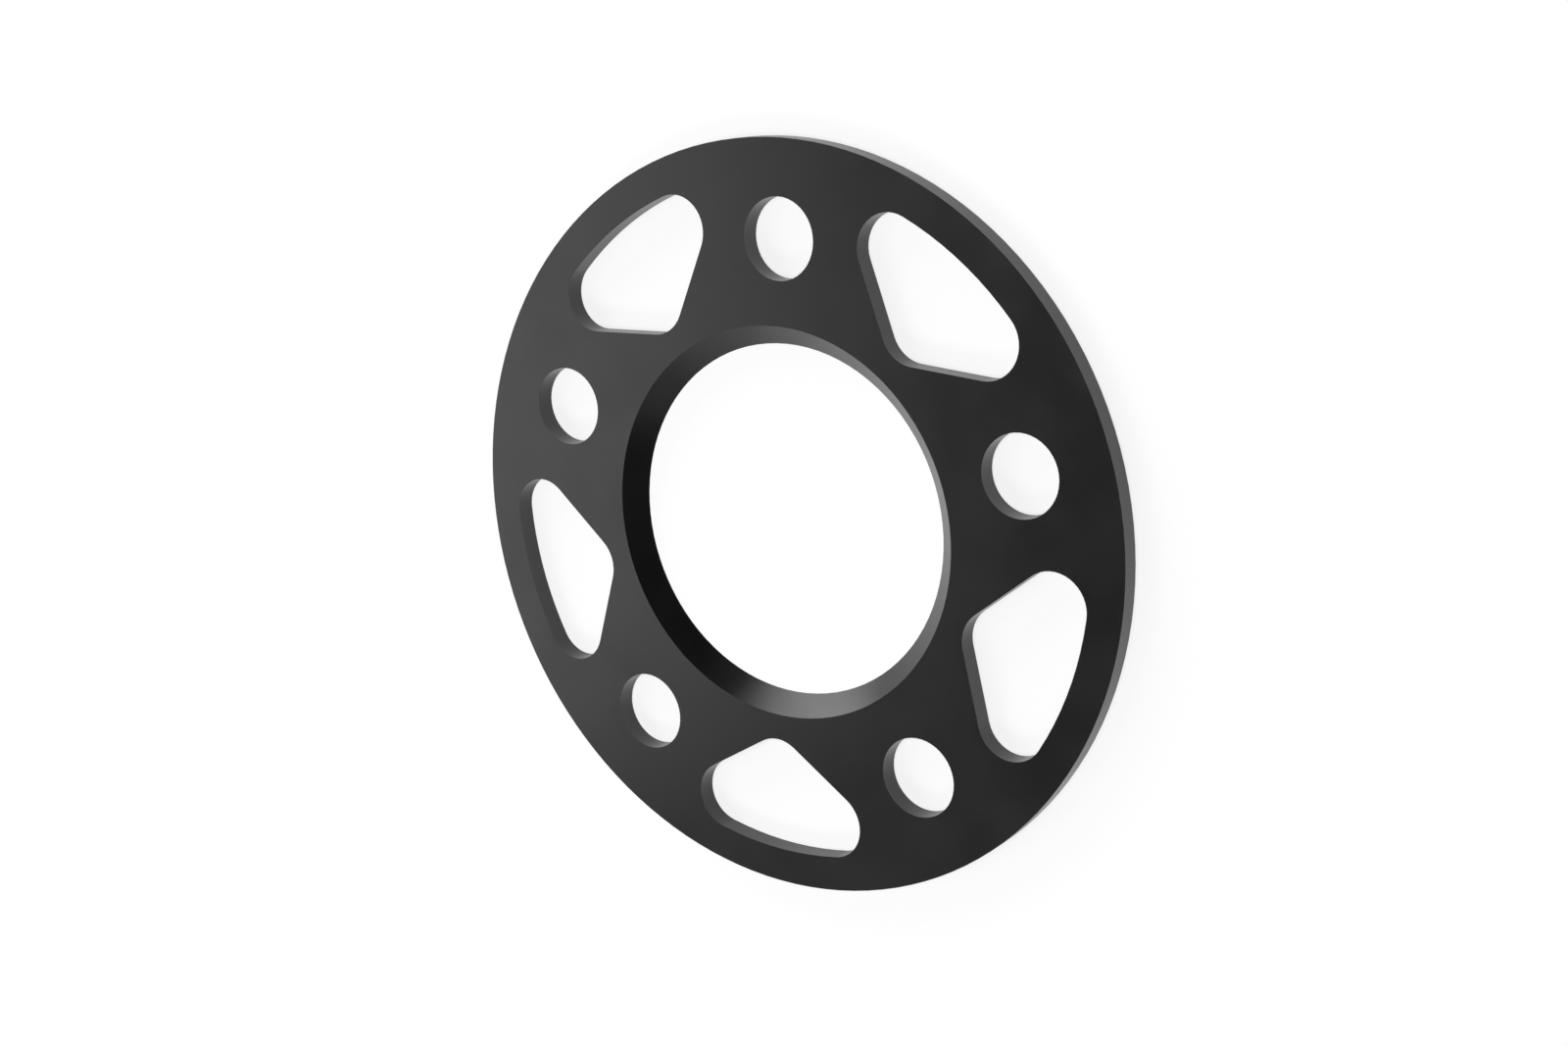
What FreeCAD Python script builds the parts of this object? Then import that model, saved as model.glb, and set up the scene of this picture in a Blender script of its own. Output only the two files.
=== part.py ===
import FreeCAD, Part
import Sketcher
import math
import os
from FreeCAD import Vector

# Wheel spacer: one flat ring, turned and milled from plate, that goes between a wheel and its hub.
# Lengths are in millimetres and angles in degrees.
# The origin is the centre of the back face, the one that seats on the hub.
# +Z runs along the wheel's axis, out through the front face, where the bore's cone is widest.
# One bolt hole lies on +Y, and the lightening windows stand midway between the bolt holes.

SIZES = (
    ("outer_diameter", 150.0, "Outer edge of the ring"),
    ("ring_thickness", 4.0, "Back face to front face"),
    ("bore_diameter", 70.5, "Narrow end of the bore's cone, in the back face"),
    ("cone_angle", 45.0, "Bore's wall, from the wheel's axis"),
    ("bolt_count", 5, "Bolt holes, and as many windows"),
    ("bolt_circle_diameter", 112.0, "Circle through the bolt holes' centres"),
    ("bolt_hole_diameter", 16.0, "Bolt hole"),
    ("rim_width", 7.0, "Metal between a window and the outer edge"),
    ("bolt_land_width", 8.0, "Metal between a bolt hole and the straight side of a window"),
    ("hub_land_width", 5.25, "Metal between a window's tip and the wide end of the bore's cone"),
    ("window_corner_radius", 7.0, "Rounding of a window's three corners"),
)
NODE = "spacer_ring"
FULL_TURN = 360.0

# Formulas for what more than one dimension needs. The cone's run is how far it widens through the ring.
CONE_RUN = "Sizes.ring_thickness * tan(Sizes.cone_angle * 1deg)"
HALF_PITCH = "(180deg / Sizes.bolt_count)"

# A sketch's numbers for the points of a line, arc or circle, for its origin and for its own axes.
START, END, CENTRE = range(1, 4)
ORIGIN_POINT = (-1, 1)
HORIZONTAL_AXIS, VERTICAL_AXIS = -1, -2


def make_size_sheet(doc):
    """One row for each driving size: its meaning, its value and the alias that formulas use."""
    sheet = doc.addObject("Spreadsheet::Sheet", "Sizes")
    for row, (alias, value, meaning) in enumerate(SIZES, start=1):
        sheet.set(f"A{row}", meaning)
        sheet.set(f"B{row}", str(value))
        sheet.setAlias(f"B{row}", alias)
    doc.recompute()
    return sheet


def origin_plane(body, role):
    return next(plane for plane in body.Origin.OriginFeatures if plane.Role == role)


def new_sketch(body, name, plane_role):
    sketch = body.newObject("Sketcher::SketchObject", name)
    sketch.AttachmentSupport = (origin_plane(body, plane_role), [""])
    sketch.MapMode = "FlatFace"
    return sketch


def dimension(sketch, name, formula, *constraint):
    """Adds a named driving dimension and ties it to the sheet."""
    index = sketch.addConstraint(Sketcher.Constraint(*constraint))
    sketch.renameConstraint(index, name)
    sketch.setExpression(f"Constraints.{name}", formula)


def join_corners(sketch, kind, links):
    """Ties the end of each edge to the start of the next: Coincident, or Tangent where it runs on smoothly."""
    for edge, next_edge in links:
        sketch.addConstraint(Sketcher.Constraint(kind, edge, END, next_edge, START))


def cone_run(sheet):
    return sheet.ring_thickness * math.tan(math.radians(sheet.cone_angle))


def arc(centre, radius, from_angle, to_angle):
    circle = Part.Circle(centre, Vector(0, 0, 1), radius)
    return Part.ArcOfCircle(circle, from_angle, to_angle)


def draw_section(body, sheet):
    """Half of the ring's section, right of the wheel's axis, with the slanted wall of the bore."""
    sketch = new_sketch(body, "ring_section", "XZ_Plane")
    outer = sheet.outer_diameter / 2
    bore = sheet.bore_diameter / 2
    corners = [
        Vector(bore, 0, 0),
        Vector(outer, 0, 0),
        Vector(outer, sheet.ring_thickness, 0),
        Vector(bore + cone_run(sheet), sheet.ring_thickness, 0),
    ]
    back, edge, front, cone = (
        sketch.addGeometry(Part.LineSegment(corner, corners[(i + 1) % len(corners)]))
        for i, corner in enumerate(corners)
    )
    join_corners(sketch, "Coincident", [(back, edge), (edge, front), (front, cone), (cone, back)])
    sketch.addConstraint(Sketcher.Constraint("PointOnObject", back, START, HORIZONTAL_AXIS))
    sketch.addConstraint(Sketcher.Constraint("Horizontal", back))
    sketch.addConstraint(Sketcher.Constraint("Vertical", edge))
    sketch.addConstraint(Sketcher.Constraint("Horizontal", front))
    dimension(sketch, "bore_radius", "Sizes.bore_diameter / 2",
              "DistanceX", *ORIGIN_POINT, back, START, bore)
    dimension(sketch, "outer_radius", "Sizes.outer_diameter / 2",
              "DistanceX", *ORIGIN_POINT, back, END, outer)
    dimension(sketch, "thickness", "Sizes.ring_thickness",
              "DistanceY", edge, START, edge, END, sheet.ring_thickness)
    dimension(sketch, "cone_run", CONE_RUN,
              "DistanceX", cone, END, cone, START, cone_run(sheet))
    return sketch


def draw_bolt_hole(body, sheet):
    """The circle of the bolt hole on +Y."""
    sketch = new_sketch(body, "bolt_hole_outline", "XY_Plane")
    centre = Vector(0, sheet.bolt_circle_diameter / 2, 0)
    hole = sketch.addGeometry(Part.Circle(centre, Vector(0, 0, 1), sheet.bolt_hole_diameter / 2))
    sketch.addConstraint(Sketcher.Constraint("PointOnObject", hole, CENTRE, VERTICAL_AXIS))
    dimension(sketch, "bolt_circle_radius", "Sizes.bolt_circle_diameter / 2",
              "DistanceY", *ORIGIN_POINT, hole, CENTRE, centre.y)
    dimension(sketch, "hole_radius", "Sizes.bolt_hole_diameter / 2",
              "Radius", hole, sheet.bolt_hole_diameter / 2)
    return sketch


def draw_window(body, sheet):
    """A rounded triangle, drawn with its tip towards the bore and its middle on the sketch's vertical axis.

    Its outer side is an arc round the wheel's axis. Each straight side touches the round land that is
    left about the bolt hole beside it. The whole sketch is then turned by half the pitch of the holes.
    """
    sketch = new_sketch(body, "window_outline", "XY_Plane")
    half_pitch = math.pi / sheet.bolt_count
    corner = sheet.window_corner_radius
    arch = sheet.outer_diameter / 2 - sheet.rim_width
    tip_height = sheet.bore_diameter / 2 + cone_run(sheet) + sheet.hub_land_width + corner
    land = sheet.bolt_hole_diameter / 2 + sheet.bolt_land_width
    bolt_circle = sheet.bolt_circle_diameter / 2
    hole_x = bolt_circle * math.sin(half_pitch)
    hole_y = bolt_circle * math.cos(half_pitch)

    # The right side is the line that passes between the tip's arc and the right land and touches both.
    to_hole = Vector(hole_x, hole_y - tip_height, 0)
    lean = math.acos((corner + land) / to_hole.Length)
    side_angle = math.atan2(to_hole.y, to_hole.x) - lean
    across = Vector(math.cos(side_angle), math.sin(side_angle), 0)
    along = Vector(-across.y, across.x, 0)

    # A corner's centre lies beside the tip's centre along that line, and its arc touches the arch.
    tip = Vector(0, tip_height, 0)
    rise = tip.dot(along)
    reach = math.sqrt(rise ** 2 - tip.Length ** 2 + (arch - corner) ** 2) - rise
    right_corner = tip + along * reach
    left_corner = Vector(-right_corner.x, right_corner.y, 0)
    arch_start = math.atan2(right_corner.y, right_corner.x)
    line_start = tip + across * corner
    line_end = right_corner + across * corner

    right_side = sketch.addGeometry(Part.LineSegment(line_start, line_end))
    right_arc = sketch.addGeometry(arc(right_corner, corner, side_angle, arch_start))
    arch_arc = sketch.addGeometry(arc(Vector(), arch, arch_start, math.pi - arch_start))
    left_arc = sketch.addGeometry(
        arc(left_corner, corner, math.pi - arch_start, math.pi - side_angle))
    left_side = sketch.addGeometry(Part.LineSegment(
        Vector(-line_end.x, line_end.y, 0), Vector(-line_start.x, line_start.y, 0)))
    tip_arc = sketch.addGeometry(
        arc(tip, corner, math.pi - side_angle, 2 * math.pi + side_angle))
    right_land, left_land = (
        sketch.addGeometry(Part.Circle(Vector(x, hole_y, 0), Vector(0, 0, 1), land), True)
        for x in (hole_x, -hole_x)
    )

    outline = [right_side, right_arc, arch_arc, left_arc, left_side, tip_arc]
    join_corners(sketch, "Tangent", zip(outline, outline[1:] + outline[:1]))
    sketch.addConstraint([
        Sketcher.Constraint("Coincident", arch_arc, CENTRE, *ORIGIN_POINT),
        Sketcher.Constraint("PointOnObject", tip_arc, CENTRE, VERTICAL_AXIS),
        Sketcher.Constraint("Equal", tip_arc, right_arc),
        Sketcher.Constraint("Equal", tip_arc, left_arc),
        Sketcher.Constraint("Equal", right_land, left_land),
        Sketcher.Constraint("Symmetric", right_land, CENTRE, left_land, CENTRE, VERTICAL_AXIS),
        Sketcher.Constraint("Tangent", right_side, right_land),
        Sketcher.Constraint("Tangent", left_side, left_land),
    ])
    dimension(sketch, "arch_radius", "Sizes.outer_diameter / 2 - Sizes.rim_width",
              "Radius", arch_arc, arch)
    dimension(sketch, "corner_radius", "Sizes.window_corner_radius",
              "Radius", tip_arc, corner)
    dimension(sketch, "tip_height",
              f"Sizes.bore_diameter / 2 + {CONE_RUN} + Sizes.hub_land_width + Sizes.window_corner_radius",
              "DistanceY", *ORIGIN_POINT, tip_arc, CENTRE, tip_height)
    dimension(sketch, "land_radius", "Sizes.bolt_hole_diameter / 2 + Sizes.bolt_land_width",
              "Radius", right_land, land)
    dimension(sketch, "land_x", f"Sizes.bolt_circle_diameter / 2 * sin{HALF_PITCH}",
              "DistanceX", *ORIGIN_POINT, right_land, CENTRE, hole_x)
    dimension(sketch, "land_y", f"Sizes.bolt_circle_diameter / 2 * cos{HALF_PITCH}",
              "DistanceY", *ORIGIN_POINT, right_land, CENTRE, hole_y)
    sketch.AttachmentOffset = FreeCAD.Placement(
        Vector(), FreeCAD.Rotation(Vector(0, 0, 1), math.degrees(half_pitch)))
    sketch.setExpression("AttachmentOffset.Rotation.Angle", HALF_PITCH)
    return sketch


def turn_blank(body, section):
    """The plain ring: its section turned once round the wheel's axis."""
    blank = body.newObject("PartDesign::Revolution", "turned_blank")
    blank.Profile = section
    blank.ReferenceAxis = (section, ["V_Axis"])
    blank.Angle = FULL_TURN
    return blank


def cut_through(body, name, outline):
    """A pocket from the back face up through the whole plate."""
    pocket = body.newObject("PartDesign::Pocket", name)
    pocket.Profile = outline
    pocket.Type = "ThroughAll"
    pocket.Reversed = True
    return pocket


def repeat_round_axis(body, name, feature, outline):
    """One copy of a cut for each bolt, evenly spaced round the wheel's axis."""
    pattern = body.newObject("PartDesign::PolarPattern", name)
    pattern.Originals = [feature]
    pattern.Axis = (outline, ["N_Axis"])
    pattern.Angle = FULL_TURN
    pattern.setExpression("Occurrences", "Sizes.bolt_count")
    body.Tip = pattern
    return pattern


def make_spacer_ring(doc, sheet):
    body = doc.addObject("PartDesign::Body", NODE)
    body.Label = NODE
    section = draw_section(body, sheet)
    blank = turn_blank(body, section)
    steps = [blank]
    for name, draw in (("bolt_hole", draw_bolt_hole), ("window", draw_window)):
        outline = draw(body, sheet)
        cut = cut_through(body, name, outline)
        doc.recompute()
        steps.append(repeat_round_axis(body, f"{name}_ring", cut, outline))
        doc.recompute()
    body.Placement = FreeCAD.Placement()
    doc.recompute()
    check_cuts(steps)
    return body


def check_cuts(steps):
    """Each ring of cuts has to leave less metal than the step before it."""
    for before, after in zip(steps, steps[1:]):
        if after.Shape.Volume >= before.Shape.Volume:
            raise RuntimeError(f"{after.Name} takes no metal away")


def check_document(doc, bodies):
    for item in doc.Objects:
        if {"Invalid", "Error"} & set(item.State):
            raise RuntimeError(f"{item.Name} could not be built: {item.State}")
    for body in bodies:
        if body.Shape.isNull() or not body.Shape.isValid():
            raise RuntimeError(f"{body.Label} is not a sound solid")


doc = FreeCAD.newDocument("wheel_spacer")
sheet = make_size_sheet(doc)
bodies = [make_spacer_ring(doc, sheet)]
check_document(doc, bodies)

os.makedirs("parts", exist_ok=True)
for body in bodies:
    body.Shape.exportStep(f"parts/{body.Label}.step")
    print(body.Label, "solids", len(body.Shape.Solids), "volume", round(body.Shape.Volume, 2))
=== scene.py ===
"""Wheel spacer: the finish of the machined ring, and the studio that it is photographed in."""

import math

import bpy
from bpy.props import FloatProperty, FloatVectorProperty, PointerProperty
from mathutils import Matrix, Vector


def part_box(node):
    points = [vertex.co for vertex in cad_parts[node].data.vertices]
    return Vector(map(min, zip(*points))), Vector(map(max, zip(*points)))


bl_info = {
    "name": "Wheel Spacer",
    "version": (1, 0, 0),
    "blender": (4, 5, 0),
    "location": "3D Viewport > Sidebar > Spacer",
    "description": "Finishes a machined wheel spacer and sets up its studio",
    "category": "Object",
}

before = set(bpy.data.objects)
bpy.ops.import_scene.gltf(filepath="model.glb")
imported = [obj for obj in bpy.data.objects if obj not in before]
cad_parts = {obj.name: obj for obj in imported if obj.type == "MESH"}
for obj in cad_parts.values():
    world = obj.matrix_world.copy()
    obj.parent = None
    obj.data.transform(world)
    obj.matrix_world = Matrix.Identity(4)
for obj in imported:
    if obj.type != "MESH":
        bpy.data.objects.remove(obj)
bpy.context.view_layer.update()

RING = "spacer_ring"
SIDEBAR_TAB = "Spacer"
MILLIMETRE = 0.001

# Direction from the middle of the ring towards its first bolt hole.
FIRST_BOLT_HOLE = Vector((0, 1, 0))

# Nearly all of a noise's values lie between these two.
NOISE_LOW = 0.35
NOISE_HIGH = 0.65

# How many times finer noise is laid over the coarse one.
CLOUD_DETAIL = 3
GRAIN_DETAIL = 2


# Finish of the ring

class RingFinish(bpy.types.PropertyGroup):
    """Black anodised aluminium."""

    dye_colour: FloatVectorProperty(
        name="Dye Colour",
        description="Colour of the dyed oxide film",
        subtype="COLOR",
        size=3,
        min=0.0,
        max=1.0,
        default=(0.0030, 0.0030, 0.0031),
    )
    dye_change: FloatProperty(
        name="Dye Change",
        description="How much the dye lightens and darkens over the ring",
        subtype="FACTOR",
        min=0.0,
        max=1.0,
        default=0.12,
    )
    film_index: FloatProperty(
        name="Film Index",
        description="Refractive index of the oxide film",
        min=1.0,
        max=2.5,
        default=1.56,
    )
    roughness: FloatProperty(
        name="Roughness",
        description="Roughness of the satin surface",
        subtype="FACTOR",
        min=0.0,
        max=1.0,
        default=0.30,
    )
    roughness_change: FloatProperty(
        name="Roughness Change",
        description="How far the roughness rises and falls over the ring",
        subtype="FACTOR",
        min=0.0,
        max=0.5,
        default=0.02,
    )
    cloud_size: FloatProperty(
        name="Cloud Size",
        description="Width of the faint clouds in dye and roughness",
        unit="LENGTH",
        min=0.001,
        max=0.1,
        default=0.014,
    )
    grain_size: FloatProperty(
        name="Grain Size",
        description="Width of one pit of the etched grain",
        unit="LENGTH",
        min=0.00001,
        max=0.01,
        default=0.00022,
    )
    grain_depth: FloatProperty(
        name="Grain Depth",
        description="Depth of the etched grain",
        unit="LENGTH",
        min=0.0,
        max=0.001,
        default=0.0000015,
    )


def join(tree, source, output, target, entry):
    """Wire one node's output to another node's input."""
    tree.links.new(source.outputs[output], target.inputs[entry])


def noise_node(tree, size, detail):
    """Noise whose features are as wide as the `size` output says."""
    noise = tree.nodes.new("ShaderNodeTexNoise")
    noise.inputs["Detail"].default_value = detail
    scale = tree.nodes.new("ShaderNodeMath")
    scale.operation = "DIVIDE"
    scale.inputs[0].default_value = 1.0
    tree.links.new(size, scale.inputs[1])
    join(tree, scale, "Value", noise, "Scale")
    return noise


def swing_node(tree, noise):
    """Stretch a noise's values to a swing from -1 to 1."""
    swing = tree.nodes.new("ShaderNodeMapRange")
    swing.inputs["From Min"].default_value = NOISE_LOW
    swing.inputs["From Max"].default_value = NOISE_HIGH
    swing.inputs["To Min"].default_value = -1.0
    swing.inputs["To Max"].default_value = 1.0
    join(tree, noise, "Fac", swing, "Value")
    return swing


def etched_film_group():
    """Node group for an etched and dyed oxide film: its colour, roughness and grain height."""
    group = bpy.data.node_groups.new("etched_film", "ShaderNodeTree")
    sockets = group.interface
    for name, kind in (
        ("Place", "NodeSocketVector"),
        ("Dye Colour", "NodeSocketColor"),
        ("Dye Change", "NodeSocketFloat"),
        ("Roughness", "NodeSocketFloat"),
        ("Roughness Change", "NodeSocketFloat"),
        ("Cloud Size", "NodeSocketFloat"),
        ("Grain Size", "NodeSocketFloat"),
    ):
        sockets.new_socket(name, in_out="INPUT", socket_type=kind)
    for name, kind in (
        ("Colour", "NodeSocketColor"),
        ("Roughness", "NodeSocketFloat"),
        ("Grain Height", "NodeSocketFloat"),
    ):
        sockets.new_socket(name, in_out="OUTPUT", socket_type=kind)
    given = group.nodes.new("NodeGroupInput")
    result = group.nodes.new("NodeGroupOutput")

    cloud = noise_node(group, given.outputs["Cloud Size"], CLOUD_DETAIL)
    join(group, given, "Place", cloud, "Vector")
    swing = swing_node(group, cloud)

    lighten = group.nodes.new("ShaderNodeMath")
    lighten.operation = "MULTIPLY_ADD"
    lighten.inputs[2].default_value = 1.0
    join(group, swing, "Result", lighten, 0)
    join(group, given, "Dye Change", lighten, 1)
    dye = group.nodes.new("ShaderNodeVectorMath")
    dye.operation = "SCALE"
    join(group, given, "Dye Colour", dye, "Vector")
    join(group, lighten, "Value", dye, "Scale")
    join(group, dye, "Vector", result, "Colour")

    polish = group.nodes.new("ShaderNodeMath")
    polish.operation = "MULTIPLY_ADD"
    join(group, swing, "Result", polish, 0)
    join(group, given, "Roughness Change", polish, 1)
    join(group, given, "Roughness", polish, 2)
    join(group, polish, "Value", result, "Roughness")

    grain = noise_node(group, given.outputs["Grain Size"], GRAIN_DETAIL)
    join(group, given, "Place", grain, "Vector")
    join(group, grain, "Fac", result, "Grain Height")
    return group


def black_anodised_material(finish):
    """Black anodised aluminium with an etched satin grain."""
    material = bpy.data.materials.new("black_anodised_satin")
    material.use_nodes = True
    tree = material.node_tree
    surface = tree.nodes["Principled BSDF"]
    surface.inputs["IOR"].default_value = finish.film_index

    place = tree.nodes.new("ShaderNodeTexCoord")
    film = tree.nodes.new("ShaderNodeGroup")
    film.node_tree = etched_film_group()
    film.inputs["Dye Colour"].default_value = (*finish.dye_colour, 1.0)
    film.inputs["Dye Change"].default_value = finish.dye_change
    film.inputs["Roughness"].default_value = finish.roughness
    film.inputs["Roughness Change"].default_value = finish.roughness_change
    film.inputs["Cloud Size"].default_value = finish.cloud_size
    film.inputs["Grain Size"].default_value = finish.grain_size
    bump = tree.nodes.new("ShaderNodeBump")
    bump.inputs["Distance"].default_value = finish.grain_depth

    join(tree, place, "Object", film, "Place")
    join(tree, film, "Colour", surface, "Base Color")
    join(tree, film, "Roughness", surface, "Roughness")
    join(tree, film, "Grain Height", bump, "Height")
    join(tree, bump, "Normal", surface, "Normal")
    return material


class OBJECT_OT_finish_spacer_ring(bpy.types.Operator):
    """Give the machined ring its black anodised finish"""

    bl_idname = "object.finish_spacer_ring"
    bl_label = "Finish Spacer Ring"
    bl_options = {"REGISTER", "UNDO"}

    def execute(self, context):
        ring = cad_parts[RING]
        ring.material_slots[0].material = black_anodised_material(context.scene.ring_finish)
        return {"FINISHED"}


# Studio

class StudioFloor(bpy.types.PropertyGroup):
    """Pale floor and the backdrop that it runs into."""

    size: FloatProperty(
        name="Size",
        description="Length of each side of the floor",
        unit="LENGTH",
        min=1.0,
        max=100.0,
        default=24.0,
    )
    colour: FloatVectorProperty(
        name="Colour",
        description="Colour of the floor as it lights what lies on it",
        subtype="COLOR",
        size=3,
        min=0.0,
        max=1.0,
        default=(0.80, 0.80, 0.80),
    )
    white_share: FloatProperty(
        name="White Share",
        description="Share of the floor's white that no shadow darkens",
        subtype="FACTOR",
        min=0.0,
        max=1.0,
        default=0.72,
    )
    shadow_share: FloatProperty(
        name="Shadow Share",
        description="Share of the floor's white that shadows darken",
        subtype="FACTOR",
        min=0.0,
        max=1.0,
        default=0.37,
    )
    lit_radius: FloatProperty(
        name="Lit Radius",
        description="Distance from the ring up to which the softboxes light the floor fully",
        unit="LENGTH",
        min=0.0,
        max=10.0,
        default=0.2,
    )
    plain_radius: FloatProperty(
        name="Plain Radius",
        description="Distance from the ring beyond which the floor is plain white",
        unit="LENGTH",
        min=0.0,
        max=20.0,
        default=0.6,
    )
    white_height: FloatProperty(
        name="White Height",
        description="Elevation up to which the backdrop is white",
        subtype="ANGLE",
        min=0.0,
        max=math.pi / 2,
        default=math.radians(6),
    )
    dark_height: FloatProperty(
        name="Dark Height",
        description="Elevation from which the studio above the backdrop is dark",
        subtype="ANGLE",
        min=0.0,
        max=math.pi / 2,
        default=math.radians(24),
    )


def azimuth_property(degrees):
    """Compass angle of a softbox round the ring, from +X towards the first bolt hole."""
    return FloatProperty(
        name="Azimuth",
        description="Direction round the ring, from +X towards the first bolt hole",
        subtype="ANGLE",
        default=math.radians(degrees),
    )


def elevation_property(degrees):
    """Height angle of a softbox above the floor."""
    return FloatProperty(
        name="Elevation",
        description="Angle above the floor, seen from the ring",
        subtype="ANGLE",
        default=math.radians(degrees),
    )


def length_property(name, description, metres):
    """A length of the studio."""
    return FloatProperty(
        name=name,
        description=description,
        unit="LENGTH",
        min=0.0,
        default=metres,
    )


def brightness_property(value):
    """Brightness of a softbox's cloth."""
    return FloatProperty(
        name="Brightness",
        description="Brightness of the cloth, where 1 is the white of the backdrop",
        min=0.0,
        default=value,
    )


class SideSoftbox(bpy.types.PropertyGroup):
    """Low softbox beside the ring, which lights the cone."""

    azimuth: azimuth_property(137)
    elevation: elevation_property(13.4)
    distance: length_property("Distance", "Distance from the ring", 1.2)
    width: length_property("Width", "Width of the softbox", 1.12)
    height: length_property("Height", "Height of the softbox", 0.56)
    brightness: brightness_property(3.9)


class BackSoftbox(bpy.types.PropertyGroup):
    """Softbox across the ring from the camera, which the flat face mirrors."""

    azimuth: azimuth_property(188.5)
    elevation: elevation_property(42)
    distance: length_property("Distance", "Distance from the ring", 1.2)
    width: length_property("Width", "Width of the softbox", 0.79)
    height: length_property("Height", "Height of the softbox", 0.52)
    brightness: brightness_property(1.75)


class StripSoftbox(bpy.types.PropertyGroup):
    """Long low softbox on the side away from the first bolt hole, which lifts the dark end of the face."""

    azimuth: azimuth_property(264.5)
    elevation: elevation_property(43.5)
    distance: length_property("Distance", "Distance from the ring", 1.2)
    width: length_property("Width", "Width of the softbox", 1.18)
    height: length_property("Height", "Height of the softbox", 0.28)
    brightness: brightness_property(2.9)


class TopSoftbox(bpy.types.PropertyGroup):
    """Softbox almost overhead, which fills the whole scene."""

    azimuth: azimuth_property(25)
    elevation: elevation_property(84)
    distance: length_property("Distance", "Distance from the ring", 1.2)
    width: length_property("Width", "Width of the softbox", 0.5)
    height: length_property("Height", "Height of the softbox", 0.5)
    brightness: brightness_property(8)


class StudioCamera(bpy.types.PropertyGroup):
    """Camera, whose picture has the first bolt hole at the top."""

    swing: FloatProperty(
        name="Swing",
        description="Angle round the first bolt hole's direction, away from straight above",
        subtype="ANGLE",
        default=math.radians(35.0819),
    )
    lift: FloatProperty(
        name="Lift",
        description="Angle towards the first bolt hole",
        subtype="ANGLE",
        default=math.radians(14.9524),
    )
    distance: length_property("Distance", "Distance from the aim point", 431.78 * MILLIMETRE)
    aim: FloatVectorProperty(
        name="Aim",
        description="Point that the camera looks at",
        subtype="TRANSLATION",
        unit="LENGTH",
        size=3,
        default=(-1.418 * MILLIMETRE, -0.652 * MILLIMETRE, 0.0),
    )
    lens: FloatProperty(
        name="Lens",
        description="Focal length",
        unit="CAMERA",
        min=1.0,
        default=50.19,
    )


class Studio(bpy.types.PropertyGroup):
    """Everything around the ring."""

    floor: PointerProperty(type=StudioFloor)
    side_softbox: PointerProperty(type=SideSoftbox)
    back_softbox: PointerProperty(type=BackSoftbox)
    strip_softbox: PointerProperty(type=StripSoftbox)
    top_softbox: PointerProperty(type=TopSoftbox)
    camera: PointerProperty(type=StudioCamera)


def grey(value):
    """Grey colour with full opacity."""
    return (value, value, value, 1.0)


def larger_node(tree, first, second):
    """The larger of two node outputs."""
    larger = tree.nodes.new("ShaderNodeMath")
    larger.operation = "MAXIMUM"
    tree.links.new(first, larger.inputs[0])
    tree.links.new(second, larger.inputs[1])
    return larger


def near_white_node(tree, floor):
    """White of the floor round the ring: a share that no shadow darkens, and one that shadows do."""
    shade = tree.nodes.new("ShaderNodeBsdfDiffuse")
    shade.inputs["Color"].default_value = grey(floor.shadow_share)
    glow = tree.nodes.new("ShaderNodeEmission")
    glow.inputs["Strength"].default_value = floor.white_share
    near_white = tree.nodes.new("ShaderNodeAddShader")
    join(tree, shade, "BSDF", near_white, 0)
    join(tree, glow, "Emission", near_white, 1)
    return near_white


def white_node(tree, floor):
    """White of the whole floor, plain beyond the softboxes' reach."""
    near_white = near_white_node(tree, floor)
    far_white = tree.nodes.new("ShaderNodeEmission")
    place = tree.nodes.new("ShaderNodeTexCoord")
    radius = tree.nodes.new("ShaderNodeVectorMath")
    radius.operation = "LENGTH"
    fade = tree.nodes.new("ShaderNodeMapRange")
    fade.interpolation_type = "SMOOTHSTEP"
    fade.inputs["From Min"].default_value = floor.lit_radius
    fade.inputs["From Max"].default_value = floor.plain_radius
    white = tree.nodes.new("ShaderNodeMixShader")
    join(tree, place, "Object", radius, "Vector")
    join(tree, radius, "Value", fade, "Value")
    join(tree, fade, "Result", white, "Fac")
    join(tree, near_white, "Shader", white, 1)
    join(tree, far_white, "Emission", white, 2)
    return white


def floor_material(floor):
    """Paper that the camera and reflections see as white, with the ring's shadow left in it."""
    material = bpy.data.materials.new("studio_floor")
    material.use_nodes = True
    # The white is only there to be seen, and isn't one of the lamps.
    material.cycles.emission_sampling = "NONE"
    tree = material.node_tree
    tree.nodes.clear()
    paper = tree.nodes.new("ShaderNodeBsdfDiffuse")
    paper.inputs["Color"].default_value = (*floor.colour, 1.0)
    white = white_node(tree, floor)
    path = tree.nodes.new("ShaderNodeLightPath")
    mirrored = larger_node(tree, path.outputs["Is Glossy Ray"], path.outputs["Is Transmission Ray"])
    seen = larger_node(tree, path.outputs["Is Camera Ray"], mirrored.outputs["Value"])
    choice = tree.nodes.new("ShaderNodeMixShader")
    output = tree.nodes.new("ShaderNodeOutputMaterial")
    join(tree, seen, "Value", choice, "Fac")
    join(tree, paper, "BSDF", choice, 1)
    join(tree, white, "Shader", choice, 2)
    join(tree, choice, "Shader", output, "Surface")
    return material


def lay_floor(floor):
    """Lay the floor under the ring's flat back."""
    lowest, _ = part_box(RING)
    bpy.ops.mesh.primitive_plane_add(size=floor.size, location=(0, 0, lowest.z))
    sheet = bpy.context.object
    sheet.name = "studio_floor"
    bpy.ops.object.transform_apply(location=True)
    sheet.data.materials.append(floor_material(floor))


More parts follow.
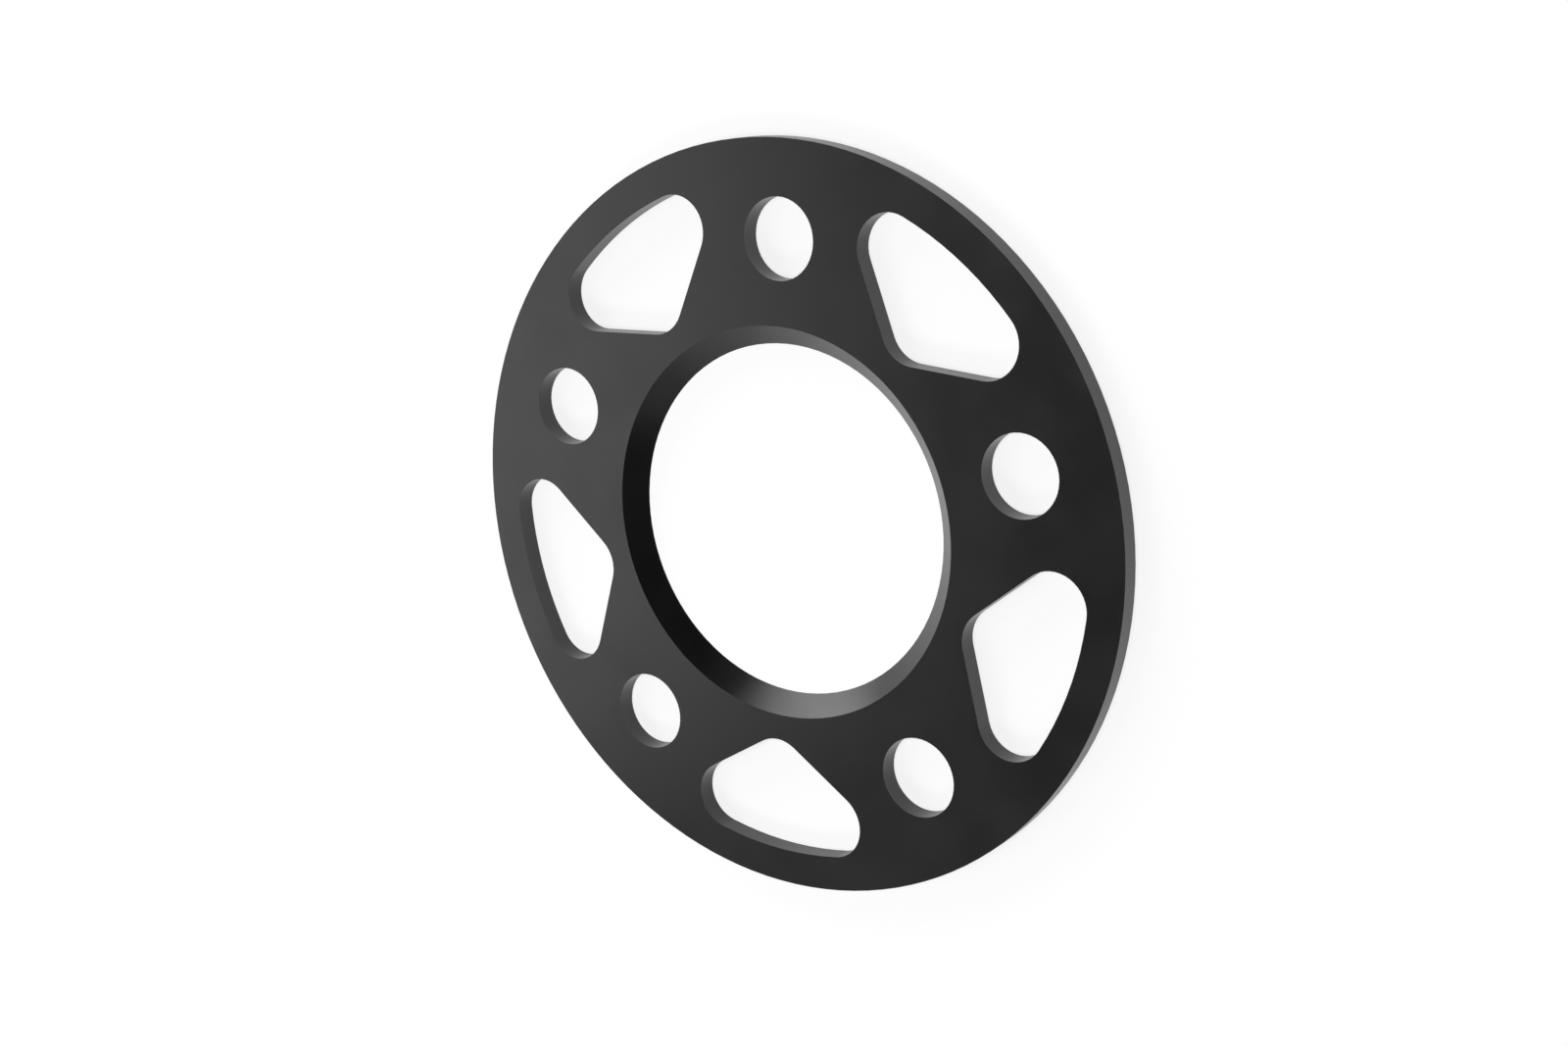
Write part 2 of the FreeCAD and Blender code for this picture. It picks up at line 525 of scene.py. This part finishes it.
def hang_backdrop(floor):
    """White from the horizon up to a soft upper edge, and dark above it."""
    world = bpy.data.worlds.new("studio_backdrop")
    bpy.context.scene.world = world
    world.use_nodes = True
    tree = world.node_tree
    backdrop = tree.nodes["Background"]
    direction = tree.nodes.new("ShaderNodeTexCoord")
    height = tree.nodes.new("ShaderNodeSeparateXYZ")
    fade = tree.nodes.new("ShaderNodeMapRange")
    fade.interpolation_type = "SMOOTHSTEP"
    fade.inputs["From Min"].default_value = math.sin(floor.white_height)
    fade.inputs["From Max"].default_value = math.sin(floor.dark_height)
    fade.inputs["To Min"].default_value = 1.0
    fade.inputs["To Max"].default_value = 0.0
    join(tree, direction, "Generated", height, "Vector")
    join(tree, height, "Z", fade, "Value")
    join(tree, fade, "Result", backdrop, "Color")


def direction_of(azimuth, elevation):
    """Unit vector from the ring towards a point of the studio."""
    level = math.cos(elevation)
    return Vector((level * math.cos(azimuth), level * math.sin(azimuth), math.sin(elevation)))


def hang_softbox(name, box):
    """Hang one softbox so that it faces the middle of the ring."""
    lamp = bpy.data.lights.new(name, "AREA")
    lamp.shape = "RECTANGLE"
    lamp.size = box.width
    lamp.size_y = box.height
    lamp.energy = box.brightness * math.pi * box.width * box.height
    holder = bpy.data.objects.new(name, lamp)
    outward = direction_of(box.azimuth, box.elevation)
    holder.location = outward * box.distance
    holder.rotation_euler = outward.to_track_quat("Z", "Y").to_euler()
    holder.visible_camera = False
    bpy.context.scene.collection.objects.link(holder)


def place_camera(settings):
    """Stand the camera over the ring, with the first bolt hole at the top of its picture."""
    lens = bpy.data.cameras.new("camera")
    lens.lens = settings.lens
    camera = bpy.data.objects.new("camera", lens)
    level = math.cos(settings.lift)
    back = Vector((
        level * math.sin(settings.swing),
        math.sin(settings.lift),
        level * math.cos(settings.swing),
    ))
    right = FIRST_BOLT_HOLE.cross(back).normalized()
    axes = Matrix((right, back.cross(right), back)).transposed()
    place = Vector(settings.aim) + back * settings.distance
    camera.matrix_world = Matrix.Translation(place) @ axes.to_4x4()
    bpy.context.scene.collection.objects.link(camera)
    bpy.context.scene.camera = camera


class SCENE_OT_set_up_studio(bpy.types.Operator):
    """Lay the floor, hang the backdrop and the softboxes, and place the camera"""

    bl_idname = "scene.set_up_studio"
    bl_label = "Set Up Studio"
    bl_options = {"REGISTER", "UNDO"}

    def execute(self, context):
        studio = context.scene.studio
        bpy.ops.object.select_all(action="DESELECT")
        lay_floor(studio.floor)
        hang_backdrop(studio.floor)
        hang_softbox("side_softbox", studio.side_softbox)
        hang_softbox("back_softbox", studio.back_softbox)
        hang_softbox("strip_softbox", studio.strip_softbox)
        hang_softbox("top_softbox", studio.top_softbox)
        place_camera(studio.camera)
        context.scene.view_settings.view_transform = "Standard"
        return {"FINISHED"}


# Sidebar and registration

class VIEW3D_PT_wheel_spacer(bpy.types.Panel):
    """Buttons and settings of the wheel spacer"""

    bl_idname = "VIEW3D_PT_wheel_spacer"
    bl_label = "Wheel Spacer"
    bl_space_type = "VIEW_3D"
    bl_region_type = "UI"
    bl_category = SIDEBAR_TAB

    def draw(self, context):
        layout = self.layout
        layout.operator(OBJECT_OT_finish_spacer_ring.bl_idname)
        self.draw_settings(context.scene.ring_finish)
        layout.operator(SCENE_OT_set_up_studio.bl_idname)
        studio = context.scene.studio
        for group in (
            studio.floor,
            studio.side_softbox,
            studio.back_softbox,
            studio.strip_softbox,
            studio.top_softbox,
            studio.camera,
        ):
            self.draw_settings(group)

    def draw_settings(self, group):
        """List one group's settings in a box of its own."""
        column = self.layout.box().column()
        for name in type(group).__annotations__:
            column.prop(group, name)


CLASSES = (
    RingFinish,
    StudioFloor,
    SideSoftbox,
    BackSoftbox,
    StripSoftbox,
    TopSoftbox,
    StudioCamera,
    Studio,
    OBJECT_OT_finish_spacer_ring,
    SCENE_OT_set_up_studio,
    VIEW3D_PT_wheel_spacer,
)


def register():
    for item in CLASSES:
        bpy.utils.register_class(item)
    bpy.types.Scene.ring_finish = PointerProperty(type=RingFinish)
    bpy.types.Scene.studio = PointerProperty(type=Studio)


def unregister():
    del bpy.types.Scene.studio
    del bpy.types.Scene.ring_finish
    for item in reversed(CLASSES):
        bpy.utils.unregister_class(item)


def main():
    register()
    bpy.ops.object.finish_spacer_ring()
    bpy.ops.scene.set_up_studio()


if __name__ == "__main__":
    main()
